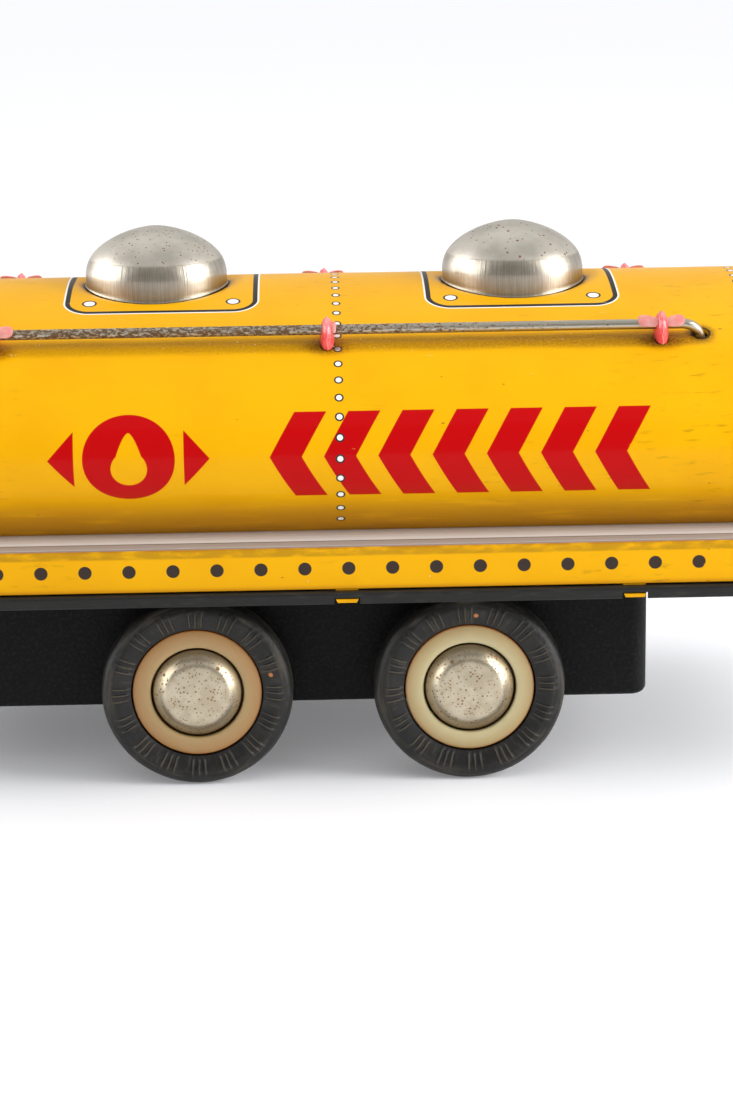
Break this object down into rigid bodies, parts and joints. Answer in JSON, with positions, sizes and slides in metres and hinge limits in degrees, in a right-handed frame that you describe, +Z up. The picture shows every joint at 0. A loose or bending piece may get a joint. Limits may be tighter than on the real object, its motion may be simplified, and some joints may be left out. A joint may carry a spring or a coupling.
{
  "type": "toy road tank wagon",
  "caption": "Toy tin road tank wagon with a lens-shaped tank, nickel filler domes, clipped handrails, rubber-tyred wheelsets and a swinging drawbar.",
  "frame": {"origin": "on the ground under the middle of the wagon's overall box", "axes": "+X along the wagon towards its rear, with the drawbar pointing to -X; +Y towards the wagon's right side; +Z up"},
  "size_m": [0.2222, 0.0988, 0.106],
  "materials": {
    "yellow_tin": "glossy lithographed tinplate, yellow with printed details",
    "nickel": "nickel plate, softly brushed, with rust pinpricks",
    "rail_steel": "bright steel wire dulled by rust",
    "coral_plastic": "coral moulded plastic, slightly translucent",
    "black_tin": "satin black enamel on tinplate",
    "tyre_rubber": "dusty black rubber",
    "cream_plastic": "aged cream moulded plastic",
    "axle_steel": "plain steel"
  },
  "bodies": {
    "wagon_body": {"tank_shell": "yellow_tin", "front_end_cap": "yellow_tin", "rear_end_cap": "yellow_tin", "skirt_tray": "yellow_tin", "front_filler_dome": "nickel", "rear_filler_dome": "nickel", "left_handrail": "rail_steel", "left_front_rail_clip": "coral_plastic", "left_middle_rail_clip": "coral_plastic", "left_rear_rail_clip": "coral_plastic", "right_handrail": "rail_steel", "right_front_rail_clip": "coral_plastic", "right_middle_rail_clip": "coral_plastic", "right_rear_rail_clip": "coral_plastic", "base_plate": "black_tin", "undercarriage": "black_tin", "drawbar_rivet": "axle_steel"},
    "front_wheelset": {"front_axle": "axle_steel", "left_front_tyre": "tyre_rubber", "left_front_wheel_disc": "cream_plastic", "left_front_hubcap": "nickel", "right_front_tyre": "tyre_rubber", "right_front_wheel_disc": "cream_plastic", "right_front_hubcap": "nickel"},
    "rear_wheelset": {"rear_axle": "axle_steel", "left_rear_tyre": "tyre_rubber", "left_rear_wheel_disc": "cream_plastic", "left_rear_hubcap": "nickel", "right_rear_tyre": "tyre_rubber", "right_rear_wheel_disc": "cream_plastic", "right_rear_hubcap": "nickel"},
    "drawbar_arm": {"drawbar": "black_tin"}
  },
  "joints": [
    {"name": "front_wheelset_spin", "type": "hinge", "parent": "wagon_body", "child": "front_wheelset", "pos_m": [-0.0143, 0, 0.019], "axis": [0, 1, 0], "continuous": true},
    {"name": "rear_wheelset_spin", "type": "hinge", "parent": "wagon_body", "child": "rear_wheelset", "pos_m": [0.0397, 0, 0.019], "axis": [0, 1, 0], "continuous": true},
    {"name": "drawbar_swing", "type": "hinge", "parent": "wagon_body", "child": "drawbar_arm", "pos_m": [-0.0633, 0, 0.01245], "axis": [0, 0, 1], "range_deg": [-45, 45]}
  ]
}
